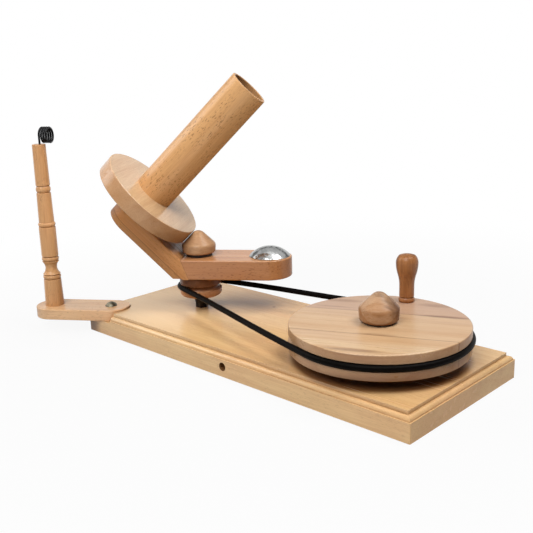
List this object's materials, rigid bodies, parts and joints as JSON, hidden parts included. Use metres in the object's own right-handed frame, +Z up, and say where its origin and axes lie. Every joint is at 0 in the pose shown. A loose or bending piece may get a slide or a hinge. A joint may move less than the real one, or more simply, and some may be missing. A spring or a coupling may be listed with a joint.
{
  "type": "yarn ball winder",
  "caption": "Hand-cranked wooden yarn ball winder: a belt turns a weighted arm whose tilted, flanged spindle rolls on a fixed knob, with a swinging yarn guide.",
  "frame": {"origin": "middle of the base board's underside", "axes": "+Z up; +X along the base towards the drive wheel; -Y is the side with the clamp hole and the yarn guide"},
  "size_m": [0.5242, 0.2278, 0.299],
  "materials": {
    "wood_base": "clear satin lacquer over pale board",
    "wood_plate": "clear satin lacquer over pale board",
    "wood_post": "clear satin lacquer, turned",
    "wood_wheel": "clear satin lacquer over glued staves",
    "wood_handle": "clear satin lacquer, turned",
    "wood_knob": "clear satin lacquer, turned",
    "wood_pulley": "clear satin lacquer, turned",
    "wood_arm": "clear satin lacquer, reddish board",
    "wood_head": "clear satin lacquer over pale board",
    "wood_backing": "clear satin lacquer over pale board",
    "wood_flange": "clear satin lacquer over pale pinkish board",
    "wood_tube": "clear satin lacquer over flecked brown wood",
    "belt_rubber": "matt black",
    "black_wire": "black enamel",
    "chrome_weight": "polished",
    "dark_washer": "blackened",
    "dark_steel": "blackened steel",
    "pivot_steel": "dull plated",
    "zinc_steel": "zinc plated",
    "bush_brass": "plain bearing brass"
  },
  "bodies": {
    "base": {"base_board": "wood_base", "wheel_axle": "dark_steel", "winder_axle": "dark_steel", "axle_washers": "zinc_steel", "base_nuts": "dark_steel", "wheel_spacer": "dark_steel", "winder_spacer": "dark_steel", "knob_washers": "dark_washer", "knob_inserts": "bush_brass", "wheel_cap_knob": "wood_knob", "friction_knob": "wood_knob", "drive_belt": "belt_rubber", "guide_pivot_bolt": "pivot_steel", "guide_nut": "zinc_steel"},
    "wheel": {"drive_wheel": "wood_wheel", "wheel_bush": "bush_brass", "handle_pin": "zinc_steel"},
    "handle": {"crank_handle": "wood_handle"},
    "winder": {"winder_pulley": "wood_pulley", "winder_arm": "wood_arm", "tilt_board": "wood_head", "tilt_backing": "wood_backing", "counterweight": "chrome_weight", "winder_bush": "bush_brass", "pulley_screws": "zinc_steel", "spindle_bolt": "zinc_steel", "spindle_nut": "zinc_steel", "spindle_washers": "zinc_steel", "spindle_lock_nut": "zinc_steel"},
    "spindle": {"flange_disc": "wood_flange", "spindle_tube": "wood_tube", "spindle_bush": "bush_brass"},
    "guide": {"guide_plate": "wood_plate", "guide_post": "wood_post", "yarn_eye": "black_wire"}
  },
  "joints": [
    {"name": "wheel_spin", "type": "hinge", "parent": "base", "child": "wheel", "pos_m": [0.132, 0, 0.04925], "axis": [0, 0, 1], "continuous": true},
    {"name": "handle_spin", "type": "hinge", "parent": "wheel", "child": "handle", "pos_m": [0.1156, 0.07216, 0.062], "axis": [0, 0, 1], "continuous": true},
    {"name": "arm_spin", "type": "hinge", "parent": "base", "child": "winder", "pos_m": [-0.128, 0, 0.0545], "axis": [0, 0, 1], "continuous": true},
    {"name": "spindle_spin", "type": "hinge", "parent": "winder", "child": "spindle", "pos_m": [-0.186, -0.04061, 0.145], "axis": [0.5792, 0.4056, 0.7071], "continuous": true},
    {"name": "guide_swing", "type": "hinge", "parent": "base", "child": "guide", "pos_m": [-0.2118, -0.0725, 0.0227], "axis": [0, 0, 1], "range_deg": [-34, 56]}
  ],
  "couplings": [
    {"joint": "arm_spin", "follows": "wheel_spin", "ratio": 3.56},
    {"joint": "spindle_spin", "follows": "wheel_spin", "ratio": 0.6216}
  ]
}
